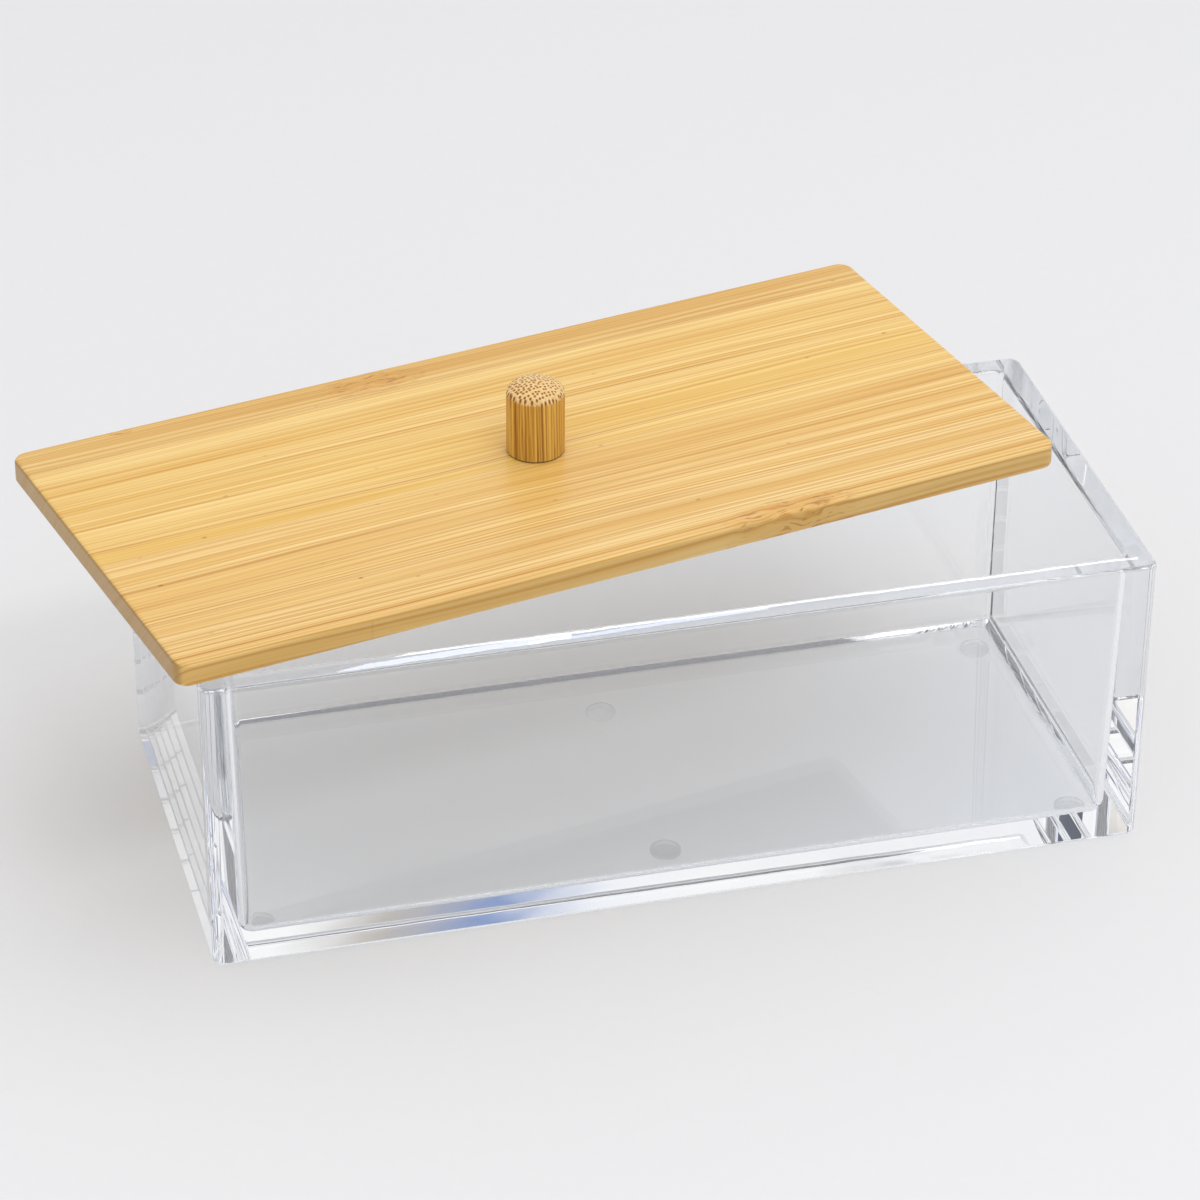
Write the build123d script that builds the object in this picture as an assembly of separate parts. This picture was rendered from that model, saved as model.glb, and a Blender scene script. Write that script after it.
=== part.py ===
from build123d import *
import os
from math import asin, cos, radians, sin, tan

# Clear moulded box with a loose bamboo lid, in millimetres and degrees.
# The origin lies under the middle of the box, at the height of the surface it stands on.
# X runs along the box, Y from the front to the back, and Z up.

# Clear box
box_length = 200.0
box_width = 92.0
rim_height = 68.0
wall_at_rim = 5.6
floor_thickness = 4.2
outer_draft_angle = 0.5
inner_draft_angle = 1.0
outer_corner_radius = 2.2
inner_corner_at_floor = 3.2
inner_corner_at_rim = 2.3
floor_rounding = 3.0
rim_rounding = 1.0
base_rounding = 1.0

# Bumper feet
foot_diameter = 6.6
foot_height = 1.0
foot_rounding = 0.4
corner_foot_inset_x = 12.0
corner_foot_inset_y = 14.0
middle_foot_inset = 19.0

# Lid board
lid_overhang = 0.4
lid_thickness = 5.5
lid_corner_radius = 3.2
lid_top_rounding = 1.0
lid_underside_rounding = 0.8
strip_joint_shares = (0.11, 0.315, 0.555, 0.823)

# How the lid lies on the rim in the photo
lid_turn_angle = 11.96
lid_shift_left = 15.3
lid_shift_back = 22.2

# Knob
knob_diameter = 12.4
knob_height = 16.5
knob_crown_radius = 11.5
knob_shoulder_radius = 2.2
knob_base_bevel = 0.25

# Screw that holds the knob, and its holes
screw_thread_diameter = 3.5
screw_core_diameter = 2.4
screw_pitch = 1.4
screw_length = 14.0
screw_point_length = 2.6
screw_head_diameter = 6.6
screw_head_height = 2.0
screw_head_rounding = 0.7
screw_head_recess = 0.5
screw_clearance = 0.3
pilot_hole_spare_depth = 0.8
recess_arm_width = 0.9
recess_arm_length = 3.4
recess_depth = 1.1

# How far a cutting shape runs past what it cuts
overrun = 5.0

# How close two heights are when they count as the same level
level_tolerance = 0.2

# Sizes that follow from the ones above
underside_height = foot_height
floor_height = underside_height + floor_thickness
box_body_height = rim_height - underside_height
compartment_depth = rim_height - floor_height
lid_length = box_length + 2 * lid_overhang
lid_width = box_width + 2 * lid_overhang
lid_place = Location((-lid_shift_left, lid_shift_back, rim_height), (0, 0, lid_turn_angle))
counterbore_depth = screw_head_height + screw_head_recess


def drafted_block(length, width, corner, bottom, height, draft):
    """Upright block that widens upwards by the draft angle; length and width are at its bottom."""
    outline = Plane.XY.offset(bottom) * RectangleRounded(length, width, corner)
    return extrude(outline, height, taper=-draft)


def horizontal_edges(shape, height):
    """Edges that lie level at the given height."""
    return shape.edges().filter_by(
        lambda edge: abs(edge.bounding_box().min.Z - height) < level_tolerance
        and abs(edge.bounding_box().max.Z - height) < level_tolerance
    )


def compartment():
    """The hollow of the box, drawn as a solid that is cut away; it widens upwards."""
    narrowing = 2 * compartment_depth * tan(radians(inner_draft_angle))
    length = box_length - 2 * wall_at_rim
    width = box_width - 2 * wall_at_rim
    at_floor = RectangleRounded(length - narrowing, width - narrowing, inner_corner_at_floor)
    at_rim = RectangleRounded(length, width, inner_corner_at_rim)
    hollow = loft([Plane.XY.offset(floor_height) * at_floor, Plane.XY.offset(rim_height) * at_rim])
    return fillet(horizontal_edges(hollow, floor_height), floor_rounding)


def clear_box():
    """The one-piece moulded box, open at the top."""
    narrowing = 2 * box_body_height * tan(radians(outer_draft_angle))
    outside = drafted_block(
        box_length - narrowing,
        box_width - narrowing,
        outer_corner_radius,
        underside_height,
        box_body_height,
        outer_draft_angle,
    )
    outside = fillet(horizontal_edges(outside, underside_height), base_rounding)
    shell = outside - compartment()
    return fillet(horizontal_edges(shell, rim_height), rim_rounding)


def foot():
    """One bumper foot, flat where it sticks to the box and rounded where it stands."""
    pad = extrude(Circle(foot_diameter / 2), foot_height)
    return fillet(horizontal_edges(pad, 0), foot_rounding)


def feet():
    """A foot under each corner and under the middle of each long side."""
    corner_x = box_length / 2 - corner_foot_inset_x
    corner_y = box_width / 2 - corner_foot_inset_y
    middle_y = box_width / 2 - middle_foot_inset
    places = [(0, middle_y), (0, -middle_y)]
    for side in (-1, 1):
        for end in (-1, 1):
            places.append((end * corner_x, side * corner_y))
    return Compound([Pos(x, y, 0) * foot() for x, y in places])


def lid_board():
    """The whole board before it is divided into strips, with its underside at zero."""
    board = extrude(RectangleRounded(lid_length, lid_width, lid_corner_radius), lid_thickness)
    board = fillet(horizontal_edges(board, lid_thickness), lid_top_rounding)
    return fillet(horizontal_edges(board, 0), lid_underside_rounding)


def knob_screw_hole():
    """Stepped hole through the board: wide for the screw's head, narrow for its thread."""
    head_room = extrude(
        Circle(screw_head_diameter / 2 + screw_clearance),
        counterbore_depth + overrun,
    )
    thread_room = extrude(
        Circle(screw_thread_diameter / 2 + screw_clearance),
        lid_thickness + 2 * overrun,
    )
    return Pos(0, 0, -overrun) * (head_room + thread_room)


def lid_strips():
    """Bamboo strips from the back of the lid to the front, glued edge to edge."""
    board = lid_board() - knob_screw_hole()
    joints = [lid_width / 2 - share * lid_width for share in strip_joint_shares]
    joints = [lid_width / 2 + overrun] + joints + [-lid_width / 2 - overrun]
    strips = []
    for back, front in zip(joints, joints[1:]):
        slab = Pos(0, (back + front) / 2, 0) * Box(
            lid_length + 2 * overrun, back - front, 2 * (lid_thickness + overrun)
        )
        strips.append(board & slab)
    return strips


def knob():
    """Dowel with a low crown, a rounded shoulder and a hole up into it for the screw."""
    radius = knob_diameter / 2
    lean = asin(radius / knob_crown_radius)
    crown_centre = knob_height - knob_crown_radius
    edge = (radius, crown_centre + knob_crown_radius * cos(lean))
    middle = (
        knob_crown_radius * sin(lean / 2),
        crown_centre + knob_crown_radius * cos(lean / 2),
    )
    top = (0, knob_height)
    side = Polyline(top, (0, 0), (radius, 0), edge)
    outline = make_face([*side.edges(), *ThreePointArc(edge, middle, top).edges()])
    rim = outline.vertices().group_by(Axis.X)[-1].sort_by(Axis.Y)
    outline = fillet(rim[-1], knob_shoulder_radius)
    rim = outline.vertices().group_by(Axis.X)[-1].sort_by(Axis.Y)
    outline = chamfer(rim[0], knob_base_bevel)
    dowel = revolve(Plane.XZ * outline, Axis.Z)
    reach = screw_length - (lid_thickness - counterbore_depth) + pilot_hole_spare_depth
    pilot = extrude(Circle(screw_thread_diameter / 2 + screw_clearance), reach + overrun)
    return dowel - Pos(0, 0, -overrun) * pilot


def screw_thread_outline():
    """Half outline of the screw's thread, drawn as rings one pitch apart."""
    core = screw_core_diameter / 2
    crest = screw_thread_diameter / 2
    straight = screw_length - screw_point_length
    turns = int(straight / screw_pitch)
    start = straight - turns * screw_pitch
    points = [(0, 0), (crest, 0), (crest, start)]
    for turn in range(turns):
        low = start + turn * screw_pitch
        points.append((core, low + screw_pitch / 4))
        points.append((core, low + screw_pitch / 2))
        points.append((crest, low + screw_pitch))
    points.append((0, screw_length))
    return points


def knob_screw():
    """Pan-head screw whose flat under-head face bears on the step in the board."""
    outline = Polyline(*screw_thread_outline(), close=True)
    thread = revolve(Plane.XZ * make_face(outline), Axis.Z)
    head = Pos(0, 0, -screw_head_height) * extrude(
        Circle(screw_head_diameter / 2), screw_head_height
    )
    head = fillet(horizontal_edges(head, -screw_head_height), screw_head_rounding)
    arm = Box(recess_arm_length, recess_arm_width, 2 * recess_depth)
    cross = Pos(0, 0, -screw_head_height) * (arm + Rot(0, 0, 90) * arm)
    return head + thread - cross


def save(shape, node):
    """Write one named node."""
    shape.label = node
    export_step(shape, "parts/" + node + ".step")


os.makedirs("parts", exist_ok=True)
save(clear_box(), "box_tub")
save(feet(), "bumper_feet")
for number, strip in enumerate(lid_strips(), start=1):
    save(lid_place * strip, "lid_strip_" + str(number))
save(lid_place * Pos(0, 0, lid_thickness) * knob(), "knob")
save(lid_place * Pos(0, 0, counterbore_depth) * knob_screw(), "knob_screw")
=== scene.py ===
import bpy
from math import cos, pi, radians, sin, tan
from mathutils import Matrix, Quaternion, Vector


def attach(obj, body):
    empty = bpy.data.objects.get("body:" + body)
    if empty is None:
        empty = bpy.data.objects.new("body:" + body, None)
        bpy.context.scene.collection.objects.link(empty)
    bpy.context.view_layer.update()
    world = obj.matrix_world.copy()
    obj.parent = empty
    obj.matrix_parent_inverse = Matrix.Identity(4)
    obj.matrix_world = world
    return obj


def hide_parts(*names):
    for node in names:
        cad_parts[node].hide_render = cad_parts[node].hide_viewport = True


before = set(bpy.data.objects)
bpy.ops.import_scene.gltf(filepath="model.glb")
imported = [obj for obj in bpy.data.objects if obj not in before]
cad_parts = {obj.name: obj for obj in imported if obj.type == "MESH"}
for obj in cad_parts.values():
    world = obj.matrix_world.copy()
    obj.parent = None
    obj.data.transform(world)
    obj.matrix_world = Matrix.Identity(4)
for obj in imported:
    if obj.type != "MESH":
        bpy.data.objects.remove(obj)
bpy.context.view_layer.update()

MM = 0.001

# Clear box, in millimetres, with the sizes of the part's source
BOX_LENGTH = 200.0
BOX_WIDTH = 92.0
RIM_HEIGHT = 68.0
WALL_AT_RIM = 5.6
FLOOR_THICKNESS = 4.2
OUTER_DRAFT = radians(0.5)
INNER_DRAFT = radians(1.0)
OUTER_CORNER = 2.2
INNER_CORNER_AT_FLOOR = 3.2
INNER_CORNER_AT_RIM = 2.3
FLOOR_ROUNDING = 3.0
RIM_ROUNDING = 1.0
BASE_ROUNDING = 1.0

# Bumper feet, in millimetres; the gap keeps their top off the box's underside
FOOT_DIAMETER = 6.6
FOOT_HEIGHT = 1.0
FOOT_ROUNDING = 0.4
FOOT_TOP_BEVEL = 0.06
FOOT_GAP = 0.03
CORNER_FOOT_INSET = (12.0, 14.0)
MIDDLE_FOOT_INSET = 19.0

# Lid board and knob, in millimetres
LID_CENTRE = (-15.3, 22.2)
LID_TURN = radians(11.96)
LID_OVERHANG = 0.4
LID_THICKNESS = 5.5
KNOB_HEIGHT = 16.5
STRIP_JOINT_SHARES = (0.0, 0.11, 0.315, 0.555, 0.823, 1.0)

# Where the camera stands, fitted to the box and lid edges in the photograph
FOCAL_PIXELS = 4867.0
IMAGE_PIXELS = 1200.0
SENSOR_WIDTH = 36.0
CAMERA_YAW = radians(14.74)
CAMERA_PITCH = radians(31.66)
CAMERA_ROLL = radians(0.389)
CAMERA_DISTANCE = 1.0509
CAMERA_ASIDE = -0.00636
CAMERA_ABOVE = 0.04007

# How many times light is led on inside a clear piece before it is let out
INNER_REFLECTIONS = 10

# Sizes that follow from the ones above
UNDERSIDE = FOOT_HEIGHT
FLOOR_TOP = UNDERSIDE + FLOOR_THICKNESS
LID_WIDTH = BOX_WIDTH + 2 * LID_OVERHANG
BOARD_TOP = RIM_HEIGHT + LID_THICKNESS


def linear(colour):
    """An sRGB hex colour as the linear colour that Blender's sockets take."""
    parts = [int(colour[i : i + 2], 16) / 255 for i in (1, 3, 5)]
    return tuple(
        c / 12.92 if c <= 0.04045 else ((c + 0.055) / 1.055) ** 2.4 for c in parts
    ) + (1.0,)


def fill(tree, node, inputs):
    """Fills a node's inputs, by name or number from a dict, or else in order. Each takes a value,
    a hex colour, an output, or another node, which stands for its first output."""
    named = isinstance(inputs, dict)
    sockets = node.inputs if named else [socket for socket in node.inputs if socket.enabled]
    for place, value in inputs.items() if named else enumerate(inputs):
        if isinstance(value, bpy.types.Node):
            value = next(output for output in value.outputs if output.enabled)
        if isinstance(value, bpy.types.NodeSocket):
            tree.links.new(value, sockets[place])
        else:
            sockets[place].default_value = linear(value) if isinstance(value, str) else value


def add(tree, kind, inputs=(), stops=(), **settings):
    """Adds a shader node with its settings and links; stops are a colour ramp's places from 0
    to 1, each with a hex colour or a grey."""
    node = tree.nodes.new("ShaderNode" + kind)
    for name, value in settings.items():
        setattr(node, name, value)
    if stops:
        elements = node.color_ramp.elements
        elements.remove(elements[-1])
        for number, (place, tone) in enumerate(stops):
            element = elements[0] if number == 0 else elements.new(place)
            element.position = place
            element.color = linear(tone) if isinstance(tone, str) else (tone, tone, tone, 1.0)
    fill(tree, node, inputs)
    return node


def new_material(name):
    """A material that holds its main shader and output alone."""
    material = bpy.data.materials.new(name)
    material.use_nodes = True
    tree = material.node_tree
    tree.nodes.clear()
    shader = add(tree, "BsdfPrincipled")
    add(tree, "OutputMaterial", {"Surface": shader})
    return material, tree, shader


# Clear materials


def let_light_through(tree, shader, tint, wetted=0.0):
    """Lets lamps and floor light pass a clear piece, where the shader alone would cast a solid
    shadow; wetted is the share that also goes straight on to the eye where no air lies between."""
    path = add(tree, "LightPath")
    lighting = add(
        tree,
        "Math",
        (path.outputs["Is Shadow Ray"], path.outputs["Is Diffuse Ray"]),
        operation="MAXIMUM",
    )
    # light that is led on more often than this goes straight through, or else the walls that
    # are seen endwise fill with repeated stripes
    led_on = add(
        tree,
        "Math",
        (path.outputs["Glossy Depth"], INNER_REFLECTIONS + 0.5),
        operation="GREATER_THAN",
    )
    straight = add(tree, "Math", (lighting, led_on), operation="MAXIMUM")
    share = add(tree, "Math", (straight, wetted), operation="MAXIMUM")
    open_way = add(tree, "BsdfTransparent", {"Color": tint})
    either = add(tree, "MixShader", (share, shader, open_way))
    fill(tree, tree.nodes["Material Output"], {"Surface": either})


def moulded_acrylic():
    """Moulded clear acrylic: water-clear, polished, with a slow waviness from its moulding."""
    material, tree, shader = new_material("clear_moulded_acrylic")
    place = add(tree, "TexCoord").outputs["Object"]
    waviness_mm = 14.0
    wave_depth_mm = 0.05
    wave = add(
        tree, "TexNoise", {"Vector": place, "Scale": 1 / (waviness_mm * MM), "Detail": 1.0}
    )
    bump = add(tree, "Bump", {"Height": wave, "Strength": 0.1, "Distance": wave_depth_mm * MM})
    surface = {
        "Base Color": "#FCFDFE",
        "Roughness": 0.0,
        "IOR": 1.49,
        "Transmission Weight": 1.0,
        "Normal": bump,
    }
    fill(tree, shader, surface)
    let_light_through(tree, shader, "#FAFBFC")
    return material


def clear_bumper():
    """Stick-on polyurethane bumper: clear with a faint brown cast and a soft surface."""
    material, tree, shader = new_material("clear_polyurethane_bumper")
    place = add(tree, "TexCoord").outputs["Object"]
    skin_mm = 0.8
    skin_depth_mm = 0.05
    skin = add(tree, "TexNoise", {"Vector": place, "Scale": 1 / (skin_mm * MM)})
    bump = add(tree, "Bump", {"Height": skin, "Strength": 0.2, "Distance": skin_depth_mm * MM})
    surface = {
        "Base Color": "#FAF7F2",
        "Roughness": 0.03,
        "IOR": 1.49,
        "Transmission Weight": 1.0,
        "Normal": bump,
    }
    fill(tree, shader, surface)
    let_light_through(tree, shader, "#FBFBFB", wetted=0.75)
    return material


# Bamboo


def board_place(tree):
    """Places on the lid board in millimetres: X along it, Y across it, Z up through it."""
    turned = add(
        tree,
        "Mapping",
        {
            "Vector": add(tree, "TexCoord").outputs["Object"],
            "Location": (LID_CENTRE[0] * MM, LID_CENTRE[1] * MM, 0.0),
            "Rotation": (0.0, 0.0, LID_TURN),
        },
        vector_type="TEXTURE",
    )
    return add(tree, "VectorMath", {0: turned, "Scale": 1 / MM}, operation="SCALE")


def stretched_noise(tree, place, along, across, seed, detail=2.0, roughness=0.5):
    """Noise drawn out along the fibres; both sizes are in millimetres."""
    scale = (1 / along, 1 / across, 1 / across)
    scaled = add(tree, "VectorMath", (place, scale), operation="MULTIPLY")
    offset = (seed * 7.31, seed * 3.17, seed * 5.77)
    moved = add(tree, "VectorMath", (scaled, offset), operation="ADD")
    inputs = {"Vector": moved, "Scale": 1.0, "Detail": detail, "Roughness": roughness}
    return add(tree, "TexNoise", inputs)


def fibre_lines(tree, drifted, spacing, width, seed):
    """Soft lines along the fibres, unevenly spaced, each with its own strength from 0 to 1."""
    steps = add(tree, "Math", (drifted, spacing), operation="DIVIDE")
    cells = add(
        tree,
        "TexVoronoi",
        {
            "W": add(tree, "Math", (steps, seed * 13.7), operation="ADD"),
            "Scale": 1.0,
            "Randomness": 0.85,
        },
        voronoi_dimensions="1D",
    )
    near = add(tree, "Math", (cells.outputs["Distance"], width / spacing), operation="DIVIDE")
    line = add(tree, "Math", (1.0, near), operation="SUBTRACT", use_clamp=True)
    own = add(tree, "SeparateColor", {"Color": cells.outputs["Color"]})
    strength = add(tree, "Math", (own.outputs["Red"], 0.6), operation="POWER")
    return add(tree, "Math", (line, strength), operation="MULTIPLY")


def pores(tree, along, across, seed):
    """A few pores of about a millimetre, strewn over the board and drawn out along it."""
    pore_spacing_mm = 15.0
    stretch = 1.8
    drawn_out = add(tree, "Math", (along, stretch), operation="DIVIDE")
    moved = add(tree, "Math", (drawn_out, seed * 41.3), operation="ADD")
    strewn = add(tree, "CombineXYZ", (moved, across, 0.0))
    cells = add(
        tree,
        "TexVoronoi",
        {"Vector": strewn, "Scale": 1 / pore_spacing_mm, "Randomness": 0.9},
        voronoi_dimensions="2D",
    )
    dot = add(
        tree, "ValToRGB", (cells.outputs["Distance"],), stops=((0.012, 1.0), (0.026, 0.0))
    )
    own = add(tree, "SeparateColor", {"Color": cells.outputs["Color"]})
    strength = add(tree, "Math", (own.outputs["Green"], 2.0), operation="POWER")
    return add(tree, "Math", (dot, strength), operation="MULTIPLY")


def culm_node_mask(tree, along, across, culm_nodes):
    """One at the places where a culm node crosses the board, fading to zero round them."""
    mask = None
    for centre, half_size in culm_nodes:
        squares = []
        for place, middle, half in zip((along, across), centre, half_size):
            off = add(tree, "Math", (place, middle), operation="SUBTRACT")
            share = add(tree, "Math", (off, half), operation="DIVIDE")
            squares.append(add(tree, "Math", (share, share), operation="MULTIPLY"))
        squared = add(tree, "Math", squares, operation="ADD")
        one = add(tree, "Math", (1.0, squared), operation="SUBTRACT", use_clamp=True)
        mask = one if mask is None else add(tree, "Math", (mask, one), operation="MAXIMUM")
    return mask


def wandering_fibres(tree, place, apart, mask, seed):
    """Places across the board, bent as the fibres wander and as they swerve at a culm node."""
    shifts = []
    wander = stretched_noise(tree, place, along=170.0, across=16.0, seed=seed, detail=1.0)
    shifts.append((wander, 5.0))
    ripple = stretched_noise(tree, place, along=45.0, across=6.0, seed=seed + 3, detail=1.0)
    shifts.append((ripple, 0.9))
    if mask is not None:
        noise = stretched_noise(tree, place, along=7.0, across=3.2, seed=seed + 31, detail=1.0)
        either_way = add(tree, "Math", (noise, 0.5), operation="SUBTRACT")
        swerve = add(tree, "Math", (either_way, mask), operation="MULTIPLY")
        shifts.append((swerve, 4.0))
    # on the board's sides the same fibres are cut at another height
    shifts.append((apart.outputs["Z"], 0.8))
    drifted = apart.outputs["Y"]
    for direction, amount_mm in shifts:
        shift = add(tree, "Math", (direction, amount_mm), operation="MULTIPLY")
        drifted = add(tree, "Math", (drifted, shift), operation="ADD")
    return drifted


def glue_lines(tree, colour, across, back, front):
    """Draws the glue line at each side of a strip that has a neighbour there."""
    glue_mm = 0.22
    for edge, tone in ((back, "#A97430"), (front, "#FBE3B0")):
        if abs(edge) > LID_WIDTH / 2 - 1:
            continue
        off = add(tree, "Math", (across, edge), operation="SUBTRACT")
        gap = add(tree, "Math", (off,), operation="ABSOLUTE")
        near = add(tree, "Math", (gap, glue_mm), operation="DIVIDE")
        line = add(tree, "Math", (1.0, near), operation="SUBTRACT", use_clamp=True)
        share = add(tree, "Math", (line, 0.8), operation="MULTIPLY")
        colour = add(tree, "Mix", (share, colour, tone), data_type="RGBA")
    return colour


def cut_faces_and_side_shade(tree, colour):
    """Darkens the board's sides: dull end grain at its short ones, and on every upright side a
    browner tone that is partly its cut layers and partly painted shade, darker than the lit top.
    """
    facing = add(tree, "SeparateXYZ", {"Vector": add(tree, "TexCoord").outputs["Normal"]})
    east = add(tree, "Math", (facing.outputs["X"], cos(LID_TURN)), operation="MULTIPLY")
    north = add(tree, "Math", (facing.outputs["Y"], sin(LID_TURN)), operation="MULTIPLY")
    endwise = add(tree, "Math", (east, north), operation="ADD")
    either_end = add(tree, "Math", (endwise,), operation="ABSOLUTE")
    share = add(tree, "ValToRGB", (either_end,), stops=((0.6, 0.0), (0.85, 0.8)))
    colour = add(tree, "Mix", (share, colour, "#8A6A3C"), data_type="RGBA")
    # painted shade: every upright side is darker than the top, partly for its cut layers
    level = add(tree, "Math", (facing.outputs["Z"],), operation="ABSOLUTE")
    upright = add(tree, "Math", (1.0, level), operation="SUBTRACT")
    share = add(tree, "ValToRGB", (upright,), stops=((0.45, 0.0), (0.95, 0.5)))
    return add(tree, "Mix", (share, colour, "#B8904C"), data_type="RGBA")


def glint_in_clear(tree, colour):
    """The board's colour, which turns to a grey glint where it is seen only by way of inner
    reflections in the clear box, and throws greyer light on what lies under it."""
    path = add(tree, "LightPath")
    inside = add(
        tree,
        "Math",
        (path.outputs["Glossy Depth"], path.outputs["Transmission Depth"]),
        operation="MINIMUM",
        use_clamp=True,
    )
    share = add(tree, "Math", (inside, 0.9), operation="MULTIPLY")
    colour = add(tree, "Mix", (share, colour, "#A9ACB3"), data_type="RGBA")
    thrown = add(tree, "Math", (path.outputs["Is Diffuse Ray"], 0.45), operation="MULTIPLY")
    return add(tree, "Mix", (thrown, colour, "#A8A8A8"), data_type="RGBA")


def bamboo_strip(number, tones, back, front, culm_nodes):
    """Edge-grain bamboo, sanded and clear-oiled: straight fibres, thin amber bundles, low sheen."""
    light, middle, dark = tones
    material, tree, shader = new_material("oiled_bamboo_strip_" + str(number))
    place = board_place(tree)
    apart = add(tree, "SeparateXYZ", (place,))
    along, across = apart.outputs["X"], apart.outputs["Y"]
    mask = culm_node_mask(tree, along, across, culm_nodes)
    drifted = wandering_fibres(tree, place, apart, mask, number)
    grain = add(tree, "CombineXYZ", (along, drifted, number * 9.0))

    # broad bands, soft veils and fine hairs of darker fibre, all in millimetres
    bands = stretched_noise(tree, grain, along=220.0, across=5.0, seed=number + 7, detail=1.0)
    veils = stretched_noise(tree, grain, along=90.0, across=1.4, seed=number + 11, roughness=0.55)
    hairs = stretched_noise(tree, grain, along=45.0, across=0.35, seed=number + 17, detail=1.0)
    share = add(tree, "ValToRGB", (bands,), stops=((0.38, 0.0), (0.62, 1.0)))
    colour = add(tree, "Mix", (share, light, middle), data_type="RGBA")
    share = add(tree, "ValToRGB", (veils,), stops=((0.45, 0.0), (0.75, 0.5)))
    colour = add(tree, "Mix", (share, colour, dark), data_type="RGBA")
    share = add(tree, "ValToRGB", (hairs,), stops=((0.50, 0.0), (0.80, 0.50)))
    colour = add(tree, "Mix", (share, colour, dark), data_type="RGBA")

    # lines of fibre bundles, which fade in and out and are closer towards one side of each strip
    fading = stretched_noise(tree, grain, along=60.0, across=3.0, seed=number + 19, detail=1.0)
    fade = add(tree, "ValToRGB", (fading,), stops=((0.38, 0.35), (0.58, 1.0)))
    packing = add(tree, "MapRange", (across, front, back, 1.0, 0.55))
    fine = fibre_lines(tree, drifted, spacing=1.15, width=0.34, seed=number + 5)
    strong = fibre_lines(tree, drifted, spacing=2.9, width=0.40, seed=number)
    bright = fibre_lines(tree, drifted, spacing=4.6, width=0.40, seed=number + 9)
    share = add(tree, "Math", (fine, packing), operation="MULTIPLY")
    colour = add(tree, "Mix", (share, colour, dark), data_type="RGBA")
    faded = add(tree, "Math", (strong, fade), operation="MULTIPLY")
    share = add(tree, "Math", (faded, packing), operation="MULTIPLY")
    colour = add(tree, "Mix", (share, colour, "#C07A18"), data_type="RGBA")
    faded = add(tree, "Math", (bright, fade), operation="MULTIPLY")
    share = add(tree, "Math", (faded, 0.55), operation="MULTIPLY")
    colour = add(tree, "Mix", (share, colour, "#FFE4A6"), data_type="RGBA")

    dots = pores(tree, along, across, number)
    share = add(tree, "Math", (dots, 0.75), operation="MULTIPLY")
    colour = add(tree, "Mix", (share, colour, "#A0611A"), data_type="RGBA")

    groove = add(tree, "Math", (strong, 0.6), operation="MULTIPLY")
    relief = add(tree, "Math", (veils, groove), operation="SUBTRACT")
    if mask is not None:
        # a culm node is browner, with short dark dashes and a wavy surface
        share = add(tree, "Math", (mask, 0.5), operation="MULTIPLY")
        colour = add(tree, "Mix", (share, colour, "#DA9F48"), data_type="RGBA")
        dashes = stretched_noise(
            tree, grain, along=3.4, across=0.5, seed=number + 53, roughness=0.6
        )
        dark_dashes = add(tree, "ValToRGB", (dashes,), stops=((0.56, 0.0), (0.64, 0.75)))
        reach = add(tree, "Math", (mask, 0.7), operation="POWER")
        pits = add(tree, "Math", (dark_dashes, reach), operation="MULTIPLY")
        colour = add(tree, "Mix", (pits, colour, "#9A6222"), data_type="RGBA")
        waves = stretched_noise(tree, place, along=5.0, across=1.6, seed=number + 61)
        swell = add(tree, "Math", (mask, waves), operation="MULTIPLY")
        relief = add(tree, "Math", (relief, swell), operation="ADD")
        sunk = add(tree, "Math", (pits, 1.5), operation="MULTIPLY")
        relief = add(tree, "Math", (relief, sunk), operation="SUBTRACT")

    colour = cut_faces_and_side_shade(tree, glue_lines(tree, colour, across, back, front))
    relief_mm = 0.06
    surface = {
        "Base Color": glint_in_clear(tree, colour),
        "Roughness": add(tree, "ValToRGB", (veils,), stops=((0.3, 0.28), (0.7, 0.38))),
        "IOR": 1.45,
        "Normal": add(
            tree, "Bump", {"Height": relief, "Strength": 0.4, "Distance": relief_mm * MM}
        ),
    }
    fill(tree, shader, surface)
    return material


def bundle_ends(tree, leaning, apart):
    """Distance from the nearest fibre bundle, for bundles that run up the dowel and are packed
    closer towards what was the outside of the culm."""
    bundle_mm = 0.86
    packed_over_mm = 6.0
    packing = add(
        tree, "MapRange", (apart.outputs["X"], -packed_over_mm, packed_over_mm, 0.86, 1.22)
    )
    cells = add(
        tree,
        "TexVoronoi",
        {"Vector": leaning, "Scale": 1 / bundle_mm, "Randomness": 0.55},
        voronoi_dimensions="2D",
    )
    return add(tree, "Math", (cells.outputs["Distance"], packing), operation="MULTIPLY")


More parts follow.
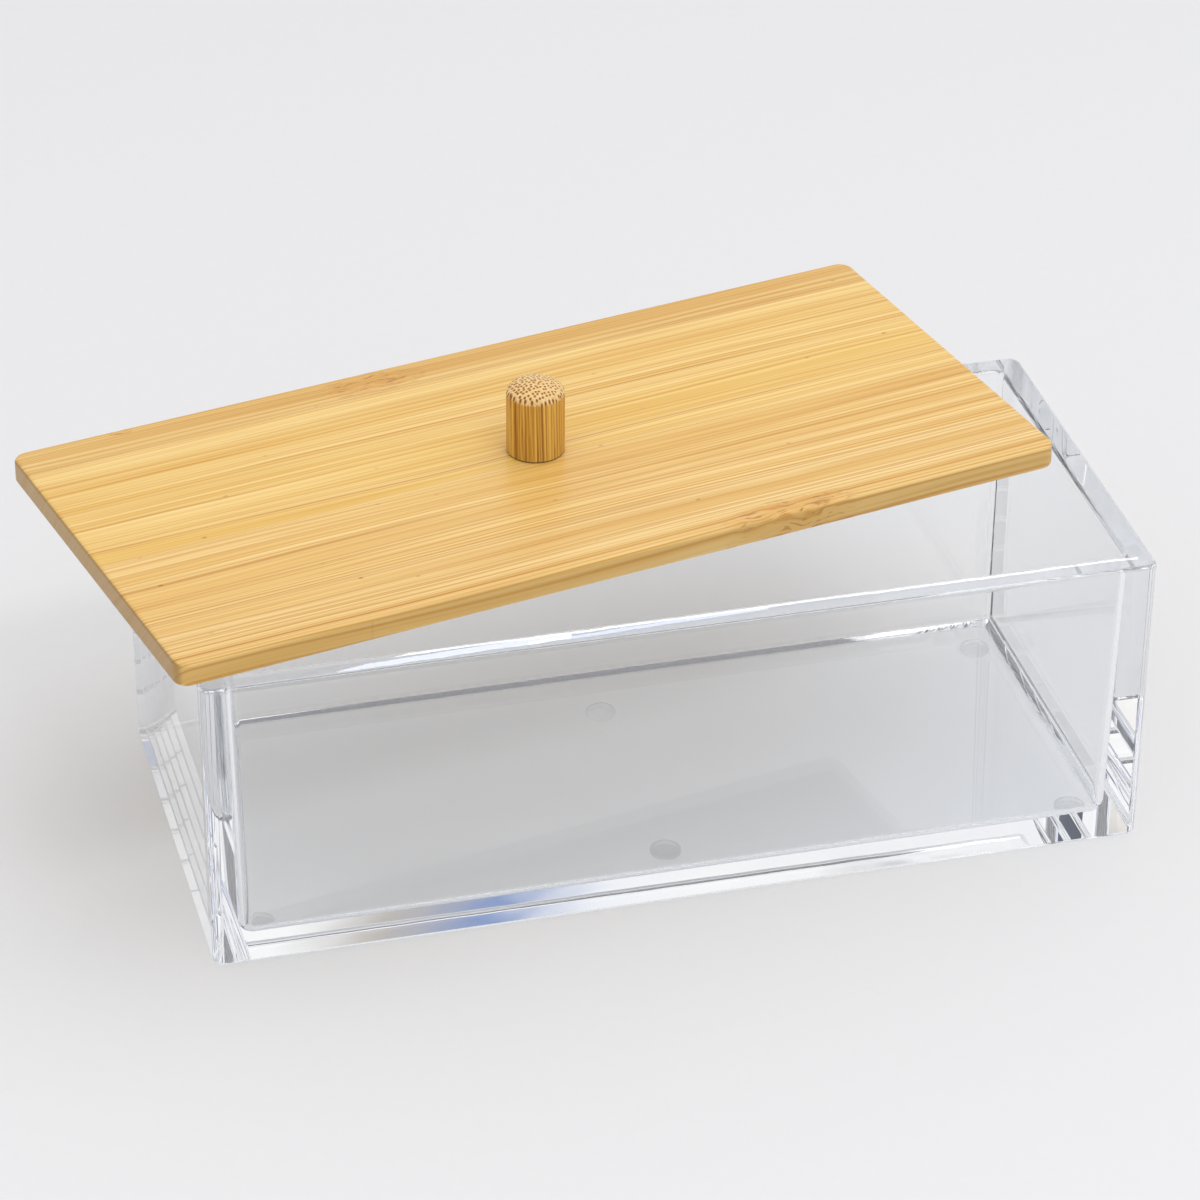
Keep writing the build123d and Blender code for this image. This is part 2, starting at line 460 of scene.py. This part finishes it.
def bamboo_dowel():
    """Turned bamboo dowel: fibre bundles run up it, as lines on its side and dots on its top."""
    material, tree, shader = new_material("turned_bamboo_dowel")
    place = board_place(tree)
    apart = add(tree, "SeparateXYZ", (place,))
    height = apart.outputs["Z"]
    lean = add(tree, "Math", (height, 0.02), operation="MULTIPLY")
    drift = stretched_noise(tree, place, along=6.0, across=6.0, seed=71, detail=1.0)
    sway = add(tree, "Math", (drift, 0.3), operation="MULTIPLY")
    leaning = add(
        tree,
        "CombineXYZ",
        {
            "X": add(tree, "Math", (apart.outputs["X"], lean), operation="ADD"),
            "Y": add(tree, "Math", (apart.outputs["Y"], sway), operation="ADD"),
            "Z": 0.0,
        },
    )
    bundles = bundle_ends(tree, leaning, apart)
    fibres = stretched_noise(
        tree, leaning, along=0.4, across=0.4, seed=67, detail=3.0, roughness=0.6
    )

    share = add(tree, "ValToRGB", (fibres,), stops=((0.35, 0.0), (0.7, 1.0)))
    top = add(tree, "Mix", (share, "#F3D69A", "#DFB068"), data_type="RGBA")
    halo = add(tree, "ValToRGB", (bundles,), stops=((0.30, 0.5), (0.44, 0.0)))
    top = add(tree, "Mix", (halo, top, "#C99550"), data_type="RGBA")
    dots = add(tree, "ValToRGB", (bundles,), stops=((0.20, 1.0), (0.34, 0.0)))
    top = add(tree, "Mix", (dots, top, "#94580F"), data_type="RGBA")

    share = add(tree, "ValToRGB", (fibres,), stops=((0.38, 0.0), (0.64, 1.0)))
    side = add(tree, "Mix", (share, "#EEBB56", "#B57A1A"), data_type="RGBA")
    lines = add(tree, "ValToRGB", (bundles,), stops=((0.12, 0.7), (0.34, 0.0)))
    side = add(tree, "Mix", (lines, side, "#7C480A"), data_type="RGBA")
    # painted shade: a dark line low on the knob's side, where it meets the board
    shade_start_mm, shade_end_mm = 0.25, 0.5
    contact_shade = add(
        tree, "MapRange", (height, BOARD_TOP + shade_start_mm, BOARD_TOP + shade_end_mm, 0.8, 0.0)
    )
    side = add(tree, "Mix", (contact_shade, side, "#54330C"), data_type="RGBA")

    # the crown shows the bundles' ends from this far below the knob's top
    crown_mm, blend_mm = 2.9, 0.35
    crown_start = BOARD_TOP + KNOB_HEIGHT - crown_mm
    crown = add(tree, "MapRange", (height, crown_start, crown_start + blend_mm))
    relief_mm = 0.12
    surface = {
        "Base Color": add(tree, "Mix", (crown, side, top), data_type="RGBA"),
        "Roughness": 0.5,
        "IOR": 1.45,
        "Normal": add(
            tree, "Bump", {"Height": bundles, "Strength": 0.3, "Distance": relief_mm * MM}
        ),
    }
    fill(tree, shader, surface)
    return material


def zinc_plated_steel():
    """Bright zinc plate over a pressed screw: pale metal with fine drawing marks."""
    material, tree, shader = new_material("zinc_plated_screw_steel")
    mark_mm = 0.5
    place = add(tree, "TexCoord").outputs["Object"]
    marks = add(tree, "TexNoise", {"Vector": place, "Scale": 1 / (mark_mm * MM), "Detail": 4.0})
    surface = {
        "Base Color": add(
            tree, "ValToRGB", (marks,), stops=((0.35, "#BFC0BE"), (0.65, "#D6D6D2"))
        ),
        "Roughness": add(tree, "ValToRGB", (marks,), stops=((0.3, 0.22), (0.7, 0.36))),
        "Metallic": 1.0,
    }
    fill(tree, shader, surface)
    return material


# Clear box and feet

# Steps round a quarter turn of the box's corners, its roundings and a foot
CORNER_STEPS = 16
EDGE_STEPS = 10
FLOOR_STEPS = 14
FOOT_STEPS = 40
FOOT_EDGE_STEPS = 8

# How far the draft moves a wall outwards over the height of its rounding, in millimetres
BASE_LEAN = 0.01
FLOOR_LEAN = 0.05


def arc(centre, radius, start, end, steps, flip=False):
    """Points of a profile arc, each with the direction that its surface faces."""
    points = []
    for step in range(steps + 1):
        angle = start + (end - start) * step / steps
        facing = angle + pi if flip else angle
        points.append(
            (centre[0] + radius * cos(angle), centre[1] + radius * sin(angle), facing)
        )
    return points


def outer_profile():
    """Base rounding, outer wall and outer rim rounding, as distance from the corner's centre."""
    base = (OUTER_CORNER - BASE_ROUNDING + BASE_LEAN, UNDERSIDE + BASE_ROUNDING)
    rim_radius = OUTER_CORNER + (RIM_HEIGHT - UNDERSIDE) * tan(OUTER_DRAFT)
    rim = (rim_radius - RIM_ROUNDING, RIM_HEIGHT - RIM_ROUNDING)
    return arc(base, BASE_ROUNDING, -pi / 2, -OUTER_DRAFT, EDGE_STEPS) + arc(
        rim, RIM_ROUNDING, -OUTER_DRAFT, pi / 2, EDGE_STEPS
    )


def inner_profile():
    """Inner rim rounding, inner wall and floor rounding."""
    rim = (INNER_CORNER_AT_RIM + RIM_ROUNDING, RIM_HEIGHT - RIM_ROUNDING)
    floor = (INNER_CORNER_AT_FLOOR - FLOOR_ROUNDING + FLOOR_LEAN, FLOOR_TOP + FLOOR_ROUNDING)
    return arc(rim, RIM_ROUNDING, pi / 2, pi - INNER_DRAFT, EDGE_STEPS) + arc(
        floor, FLOOR_ROUNDING, -INNER_DRAFT, -pi / 2, FLOOR_STEPS, flip=True
    )


def ring(corner, radius, height, facing):
    """One level loop of the box: four rounded corners joined by straight runs."""
    places, normals = [], []
    for quarter in range(4):
        side_x = 1 if quarter in (0, 3) else -1
        side_y = 1 if quarter in (0, 1) else -1
        for step in range(CORNER_STEPS + 1):
            angle = (quarter + step / CORNER_STEPS) * pi / 2
            x = side_x * corner[0] + radius * cos(angle)
            y = side_y * corner[1] + radius * sin(angle)
            places.append(Vector((x, y, height)) * MM)
            level = cos(facing)
            normals.append(Vector((level * cos(angle), level * sin(angle), sin(facing))))
    return places, normals


def skin(first, levels, count):
    """Faces that join level loops of count points each and close both ends."""
    faces = []
    for level in range(levels - 1):
        for here in range(count):
            after = (here + 1) % count
            low, high = first + level * count, first + (level + 1) * count
            faces.append((low + here, low + after, high + after, high + here))
    last = first + (levels - 1) * count
    faces.append(tuple(reversed(range(first, first + count))))
    faces.append(tuple(range(last, last + count)))
    return faces


def mesh_object(name, vertices, faces, normals, material):
    """A smooth-shaded mesh; where normals are given, they are the true surface's."""
    mesh = bpy.data.meshes.new(name)
    mesh.from_pydata([tuple(v) for v in vertices], [], faces)
    mesh.validate()
    for polygon in mesh.polygons:
        polygon.use_smooth = True
    if normals:
        mesh.normals_split_custom_set_from_vertices([tuple(n) for n in normals])
    mesh.materials.append(material)
    piece = bpy.data.objects.new(name, mesh)
    bpy.context.collection.objects.link(piece)
    return piece


def corner_centre(inset):
    """Centre of a corner's rounding, inset from the box's nominal outside."""
    return (BOX_LENGTH / 2 - inset, BOX_WIDTH / 2 - inset)


def clear_box(material):
    """The moulded box as one closed skin, swept round its corners."""
    outer_shrink = (RIM_HEIGHT - UNDERSIDE) * tan(OUTER_DRAFT)
    inner_shrink = (RIM_HEIGHT - FLOOR_TOP) * tan(INNER_DRAFT)
    outer_corner = corner_centre(outer_shrink + OUTER_CORNER)
    corner_at_rim = corner_centre(WALL_AT_RIM + INNER_CORNER_AT_RIM)
    corner_at_floor = corner_centre(WALL_AT_RIM + inner_shrink + INNER_CORNER_AT_FLOOR)
    loops = [(outer_corner, point) for point in outer_profile()]
    for point in inner_profile():
        near_rim = point[1] > RIM_HEIGHT / 2
        loops.append((corner_at_rim if near_rim else corner_at_floor, point))
    vertices, normals = [], []
    for corner, (radius, level, facing) in loops:
        places, directions = ring(corner, radius, level, facing)
        vertices += places
        normals += directions
    faces = skin(0, len(loops), 4 * (CORNER_STEPS + 1))
    return mesh_object("moulded_box", vertices, faces, normals, material)


def bumper_feet(material):
    """Six round pads under the box, each rounded where it meets the table."""
    corner_x = BOX_LENGTH / 2 - CORNER_FOOT_INSET[0]
    corner_y = BOX_WIDTH / 2 - CORNER_FOOT_INSET[1]
    middle_y = BOX_WIDTH / 2 - MIDDLE_FOOT_INSET
    spots = [(0.0, middle_y), (0.0, -middle_y)]
    spots += [(x * corner_x, y * corner_y) for x in (-1, 1) for y in (-1, 1)]
    radius = FOOT_DIAMETER / 2
    top = UNDERSIDE - FOOT_GAP
    edge = arc((radius - FOOT_ROUNDING, FOOT_ROUNDING), FOOT_ROUNDING, -pi / 2, 0, FOOT_EDGE_STEPS)
    profile = [(distance, level) for distance, level, _ in edge]
    profile += [(radius, top - FOOT_TOP_BEVEL), (radius - FOOT_TOP_BEVEL, top)]
    vertices, faces = [], []
    for x, y in spots:
        faces += skin(len(vertices), len(profile), FOOT_STEPS)
        for distance, level in profile:
            for step in range(FOOT_STEPS):
                angle = 2 * pi * step / FOOT_STEPS
                place = (x + distance * cos(angle), y + distance * sin(angle), level)
                vertices.append(Vector(place) * MM)
    return mesh_object("clear_bumper_feet", vertices, faces, None, material)


# Studio

# What stands round the object, by compass angle in degrees from +Y towards +X: white screens,
# grey gaps between them, cool and warm edges that the clear box breaks into bands, and the dark
# room behind the camera, which draws the box's rounded edges
SURROUNDINGS = (
    (-180, "#484C55"),
    (-128, "#484C55"),
    (-124, "#F4F5F7"),
    (-104, "#F4F5F7"),
    (-98, "#3C3F46"),
    (-78, "#3C3F46"),
    (-74, "#FFFFFF"),
    (-52, "#F4F6FA"),
    (-45, "#4F545E"),
    (-39, "#5A6070"),
    (-37, "#FFFFFF"),
    (-33, "#FFFFFF"),
    (-30, "#8FA6DC"),
    (-28, "#FFFFFF"),
    (-24.1, "#FFFFFF"),
    (-23.7, "#EFE4D8"),
    (-23.4, "#5A5F6B"),
    (-19.5, "#6B707B"),
    (-18, "#FFFFFF"),
    (-13, "#7E98D6"),
    (-10, "#FFFFFF"),
    (8.6, "#FFFFFF"),
    (8.75, "#6A6D74"),
    (9.25, "#6A6D74"),
    (9.4, "#F0C48E"),
    (9.6, "#FFFFFF"),
    (10.8, "#FFFFFF"),
    (11.2, "#C6C0B8"),
    (11.9, "#8B92A1"),
    (12.8, "#8BA2D2"),
    (13.4, "#C8D7F4"),
    (14.2, "#FFFFFF"),
    (17.9, "#FFFFFF"),
    (18.1, "#F0C48E"),
    (18.25, "#75787F"),
    (18.9, "#75787F"),
    (19.1, "#FFFFFF"),
    (30, "#FFFFFF"),
    (33, "#737985"),
    (36, "#8A9DCB"),
    (38, "#FFFFFF"),
    (43.6, "#FFFFFF"),
    (44.2, "#EFE4D8"),
    (44.8, "#7A8190"),
    (54, "#FFFFFF"),
    (66, "#7E98D6"),
    (70, "#FFFFFF"),
    (82, "#3C3F46"),
    (100, "#3C3F46"),
    (103, "#FFFFFF"),
    (107, "#7C818C"),
    (112, "#F4F5F7"),
    (128, "#484C55"),
)

# Soft boxes: where each stands, its size in metres and its power in watts
SOFT_BOXES = {
    "key_soft_box": ((1.20, 0.30, 2.90), (2.2, 2.2), 11.8),
    "top_front_soft_box": ((0.50, -1.50, 2.30), (1.2, 0.4), 9.0),
}
SOFT_BOX_AIM = (0.0, 0.0, 0.03)

# Thin strip lights close behind the box, which only its rim mirrors: place along X and height,
# length and height, power, colour, and slant in degrees
RIM_LIGHTS = (
    ((0.085, 0.2566), (0.26, 0.0006), 0.0025, "#FFFFFF", 0.0),
    ((0.018, 0.2582), (0.066, 0.0014), 0.0015, "#E3ECFF", 1.0),
    ((0.073, 0.2576), (0.068, 0.0008), 0.0009, "#B9CCFA", 0.8),
)
RIM_LIGHTS_BEHIND = 0.25
RIM_AIM = (-0.043, 0.068)


def studio_floor():
    """Matt pale paper that the object stands on, with painted shade that makes it a little greyer
    towards its back.
    """
    material, tree, shader = new_material("matt_pale_studio_paper")
    place = add(tree, "TexCoord").outputs["Object"]
    fibre_mm = 3.0
    fibre = add(tree, "TexNoise", {"Vector": place, "Scale": 1 / (fibre_mm * MM)})
    depth = add(tree, "SeparateXYZ", {"Vector": place})
    # painted shade: the paper's colour darkens from front to back
    away = add(
        tree, "MapRange", {"Value": depth.outputs["Y"], "From Min": -0.25, "From Max": 0.45}
    )
    colour = add(tree, "ValToRGB", (away,), stops=((0.0, "#EAEAEB"), (1.0, "#E2E2E3")))
    speck = add(tree, "ValToRGB", (fibre,), stops=((0.3, 0.0), (0.7, 0.03)))
    surface = {
        "Base Color": add(tree, "Mix", (speck, colour, "#FFFFFF"), data_type="RGBA"),
        "Roughness": 0.7,
        "Specular IOR Level": 0.25,
    }
    fill(tree, shader, surface)
    half = 4.0
    level = -0.02 * MM
    spread = ((-half, -half), (half, -half), (half, half), (-half, half))
    corners = [(x, y, level) for x, y in spread]
    mesh = bpy.data.meshes.new("studio_floor")
    mesh.from_pydata(corners, [], [(0, 1, 2, 3)])
    mesh.materials.append(material)
    floor = bpy.data.objects.new("studio_floor", mesh)
    bpy.context.collection.objects.link(floor)


def screens_round_about(tree, share):
    """The colour of the surroundings by their share of the compass. A colour ramp holds 32 stops
    at most, so each half of the compass has its own."""
    halves = []
    for side in (-1, 1):
        stops = [(turn / 360 + 0.5, tone) for turn, tone in SURROUNDINGS if side * turn > 0]
        halves.append(add(tree, "ValToRGB", (share,), stops=stops))
    east = add(tree, "Math", (share, 0.5), operation="GREATER_THAN")
    return add(tree, "Mix", (east, *halves), data_type="RGBA")


def studio_world():
    """Pale even surroundings; clear and polished surfaces see screens and gaps in them."""
    world = bpy.data.worlds.new("studio_surroundings")
    bpy.context.scene.world = world
    world.use_nodes = True
    tree = world.node_tree
    tree.nodes.clear()
    apart = add(tree, "SeparateXYZ", {"Vector": add(tree, "TexCoord").outputs["Generated"]})
    height = apart.outputs["Z"]
    compass = add(
        tree, "Math", (apart.outputs["X"], apart.outputs["Y"]), operation="ARCTAN2"
    )
    # the screens lean, so that their edges cross the box's edges at a slant
    plumb_height, lean_share = 0.588, 0.157
    above = add(tree, "Math", (height, plumb_height), operation="SUBTRACT")
    lean = add(tree, "Math", (above, lean_share), operation="MULTIPLY")
    turns = add(tree, "Math", (compass, 2 * pi), operation="DIVIDE")
    turn = add(tree, "Math", (turns, 0.5), operation="ADD")
    share = add(tree, "Math", (turn, lean), operation="ADD")
    screens = screens_round_about(tree, share)

    # behind the box the structure stays above what its floor mirrors, so the floor stays plain
    behind = add(
        tree,
        "ValToRGB",
        (share,),
        stops=((0.5139, 0.0), (0.5153, 1.0), (0.5667, 1.0), (0.5681, 0.0)),
    )
    all_round = add(
        tree, "ValToRGB", (height,), stops=((0.10, 0.0), (0.16, 1.0), (0.75, 1.0), (0.85, 0.0))
    )
    above_mirror = add(
        tree, "ValToRGB", (height,), stops=((0.567, 0.0), (0.574, 1.0), (0.75, 1.0), (0.85, 0.0))
    )
    seen = add(tree, "Mix", (behind, all_round, above_mirror), data_type="RGBA")
    room = add(tree, "Mix", (seen, "#F8F8FA", screens), data_type="RGBA")
    even = add(tree, "ValToRGB", (height,), stops=((0.0, "#F6F6F7"), (1.0, "#F0F0F1")))

    path = add(tree, "LightPath")
    clear = add(
        tree,
        "Math",
        (path.outputs["Is Glossy Ray"], path.outputs["Is Transmission Ray"]),
        operation="MAXIMUM",
    )
    colour = add(tree, "Mix", (clear, even, room), data_type="RGBA")
    eye = path.outputs["Is Camera Ray"]
    colour = add(tree, "Mix", (eye, colour, "#E9E9EA"), data_type="RGBA")
    background = add(tree, "Background", {"Color": colour, "Strength": 1.0})
    add(tree, "OutputWorld", {"Surface": background})


def soft_lamp(name, place, aim, size, power, tone="#FFFFFF", roll=0.0):
    """A rectangular soft box that faces the place it is aimed at."""
    data = bpy.data.lights.new(name, "AREA")
    data.shape = "RECTANGLE"
    data.size, data.size_y = size
    data.energy = power
    data.color = linear(tone)[:3]
    lamp = bpy.data.objects.new(name, data)
    lamp.location = place
    lamp.rotation_mode = "QUATERNION"
    facing = (Vector(aim) - Vector(place)).to_track_quat("-Z", "Y")
    lamp.rotation_quaternion = facing @ Quaternion((0.0, 0.0, 1.0), roll)
    lamp.visible_camera = False
    bpy.context.collection.objects.link(lamp)


def studio_lamps():
    """Two soft boxes above the object, and the thin lights that its rim mirrors."""
    for name, (place, size, power) in SOFT_BOXES.items():
        soft_lamp(name, place, SOFT_BOX_AIM, size, power)
    for number, ((x, z), size, power, tone, slant) in enumerate(RIM_LIGHTS, start=1):
        name = "rim_light_" + str(number)
        place, aim = (x, RIM_LIGHTS_BEHIND, z), (x, *RIM_AIM)
        soft_lamp(name, place, aim, size, power, tone, radians(slant))


def studio_camera():
    """The camera, standing where the photograph's camera stood."""
    data = bpy.data.cameras.new("photo_camera")
    data.sensor_width = SENSOR_WIDTH
    data.lens = data.sensor_width * FOCAL_PIXELS / IMAGE_PIXELS
    flat = cos(CAMERA_PITCH)
    ahead = Vector((sin(CAMERA_YAW) * flat, cos(CAMERA_YAW) * flat, -sin(CAMERA_PITCH)))
    level = Vector((cos(CAMERA_YAW), -sin(CAMERA_YAW), 0.0))
    above = level.cross(ahead)
    right = level * cos(CAMERA_ROLL) + above * sin(CAMERA_ROLL)
    top = above * cos(CAMERA_ROLL) - level * sin(CAMERA_ROLL)
    camera = bpy.data.objects.new("photo_camera", data)
    camera.rotation_mode = "QUATERNION"
    camera.rotation_quaternion = Matrix((right, top, -ahead)).transposed().to_quaternion()
    camera.location = -ahead * CAMERA_DISTANCE + right * CAMERA_ASIDE + top * CAMERA_ABOVE
    data.clip_start, data.clip_end = 0.01, 50.0
    bpy.context.collection.objects.link(camera)
    bpy.context.scene.camera = camera


# Put the object together

moulded = clear_box(moulded_acrylic())
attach(moulded, "box")
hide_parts("box_tub")

pads = bumper_feet(clear_bumper())
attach(pads, "box")
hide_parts("bumper_feet")

# Light, middle and dark tone of each strip, and its culm nodes as centre and half size
STRIPS = (
    (
        ("#EAC478", "#E2B565", "#C88F32"),
        (((-19.4, 41.4), (13.0, 5.5)), ((-76.0, 45.1), (3.0, 2.0))),
    ),
    (("#F2D084", "#ECC36C", "#D89D38"), ()),
    (("#F3D083", "#EDC46B", "#D89F38"), ()),
    (("#F4D088", "#ECC271", "#CC8E2A"), ()),
    (("#F4D38F", "#EAC071", "#CC9030"), (((37.0, -45.1), (17.0, 4.6)),)),
)
for number, (tones, culm_nodes) in enumerate(STRIPS, start=1):
    back = LID_WIDTH * (0.5 - STRIP_JOINT_SHARES[number - 1])
    front = LID_WIDTH * (0.5 - STRIP_JOINT_SHARES[number])
    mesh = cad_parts["lid_strip_" + str(number)].data
    mesh.materials.clear()
    mesh.materials.append(bamboo_strip(number, tones, back, front, culm_nodes))

for node, material in (("knob", bamboo_dowel()), ("knob_screw", zinc_plated_steel())):
    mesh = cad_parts[node].data
    mesh.materials.clear()
    mesh.materials.append(material)

studio_floor()
studio_world()
studio_lamps()
studio_camera()
bpy.context.scene.view_settings.view_transform = "Standard"

# Light is led many times along inside the clear box before it comes out
cycles = bpy.context.scene.cycles
cycles.max_bounces, cycles.glossy_bounces, cycles.transmission_bounces = 28, 20, 20
cycles.transparent_max_bounces = 16
